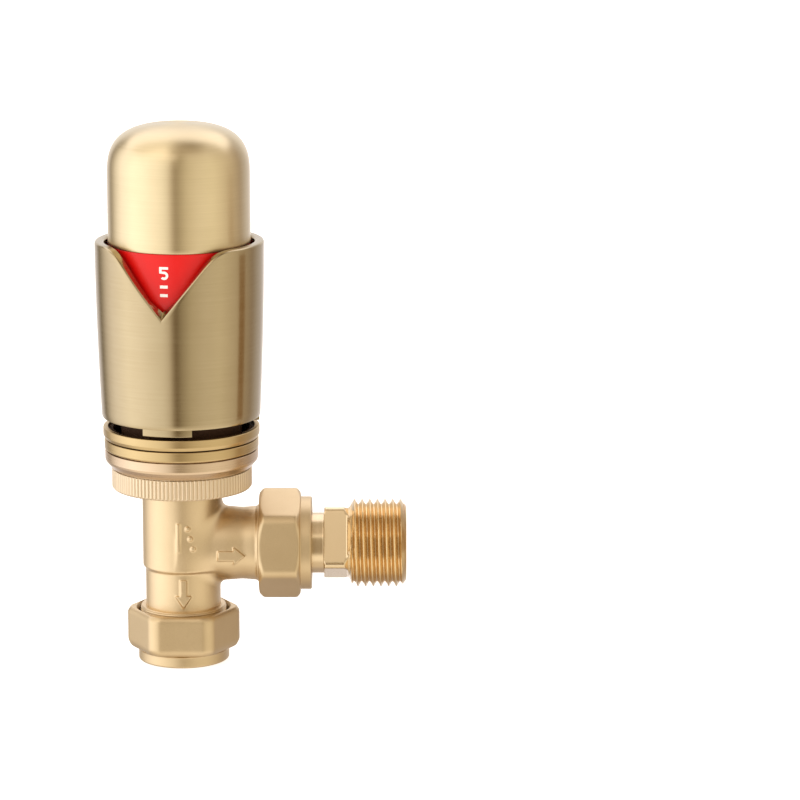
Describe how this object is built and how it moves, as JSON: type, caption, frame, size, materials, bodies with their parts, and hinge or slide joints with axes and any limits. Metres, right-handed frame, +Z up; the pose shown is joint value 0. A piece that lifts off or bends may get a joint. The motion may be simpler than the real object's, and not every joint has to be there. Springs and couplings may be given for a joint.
{
  "type": "thermostatic radiator valve",
  "caption": "Angle thermostatic radiator valve with a turning dome on a notched sleeve head, a compression inlet below and a threaded union tailpiece at the side.",
  "frame": {"origin": "centre of the compression nut's bottom face, where the supply pipe enters, on the axis of pipe, valve pin and head", "axes": "+Z up the valve axis to the dome, +X along the branch to the radiator, +Y to the back"},
  "size_m": [0.0728, 0.0395, 0.1282],
  "materials": {
    "matte_brass": "fine satin",
    "satin_brass": "satin",
    "brushed_brass": "brushed and lacquered",
    "sleeve_brass": "finely brushed, glossy",
    "thread_brass": "bright machined",
    "raw_brass": "machined",
    "steel": "drawn",
    "rubber": "matte",
    "red_plastic": "semi-gloss",
    "white_print": "matte",
    "black_plastic": "fine texture",
    "pale_plastic": "moulded"
  },
  "bodies": {
    "root": {"valve_body": "matte_brass", "olive": "raw_brass", "tailpiece": "thread_brass", "tail_seal": "rubber", "valve_insert": "raw_brass", "insert_o_ring": "rubber", "guide_bush": "pale_plastic", "gland_nut": "raw_brass", "gland_o_ring": "rubber", "return_spring": "steel", "ring_nut_clip": "steel", "head_base": "matte_brass", "lower_limit_ring": "brushed_brass", "upper_limit_ring": "brushed_brass", "inner_cage": "black_plastic", "sleeve": "sleeve_brass"},
    "compression_nut": {"compression_nut": "satin_brass"},
    "union_nut": {"union_nut": "satin_brass"},
    "ring_nut": {"ring_nut": "matte_brass"},
    "sensor": {"sensor_carrier": "pale_plastic", "sensor_capsule": "steel", "bellows": "raw_brass", "spring_washer": "steel", "overtravel_spring": "steel", "spring_plug": "pale_plastic"},
    "handwheel": {"handwheel_cap": "brushed_brass", "handwheel_liner": "black_plastic", "indicator_skirt": "red_plastic", "setting_mark": "white_print"},
    "stem": {"push_rod": "pale_plastic", "valve_pin": "steel", "pin_clip": "steel", "disc_holder": "raw_brass", "disc_washer": "rubber"}
  },
  "joints": [
    {"name": "compression_nut_turn", "type": "hinge", "parent": "root", "child": "compression_nut", "pos_m": [0, 0, 0.006], "axis": [0, 0, 1], "continuous": true},
    {"name": "union_nut_turn", "type": "hinge", "parent": "root", "child": "union_nut", "pos_m": [0.024, 0, 0.028], "axis": [1, 0, 0], "continuous": true},
    {"name": "ring_nut_turn", "type": "hinge", "parent": "root", "child": "ring_nut", "pos_m": [0, 0, 0.0443], "axis": [0, 0, 1], "continuous": true},
    {"name": "sensor_lift", "type": "slide", "parent": "root", "child": "sensor", "axis": [0, 0, 1], "range_m": [-0.0024, 0]},
    {"name": "handwheel_turn", "type": "hinge", "parent": "sensor", "child": "handwheel", "pos_m": [0, 0, 0.11], "axis": [0, 0, 1], "range_deg": [-288, 0]},
    {"name": "valve_stroke", "type": "slide", "parent": "root", "child": "stem", "axis": [0, 0, 1], "range_m": [-0.0024, 0], "stiffness_N_per_m": 5000, "springref_m": 0.004, "deforming": ["return_spring"]}
  ],
  "couplings": [
    {"joint": "handwheel_turn", "follows": "sensor_lift", "rad_per_m": 2094}
  ]
}
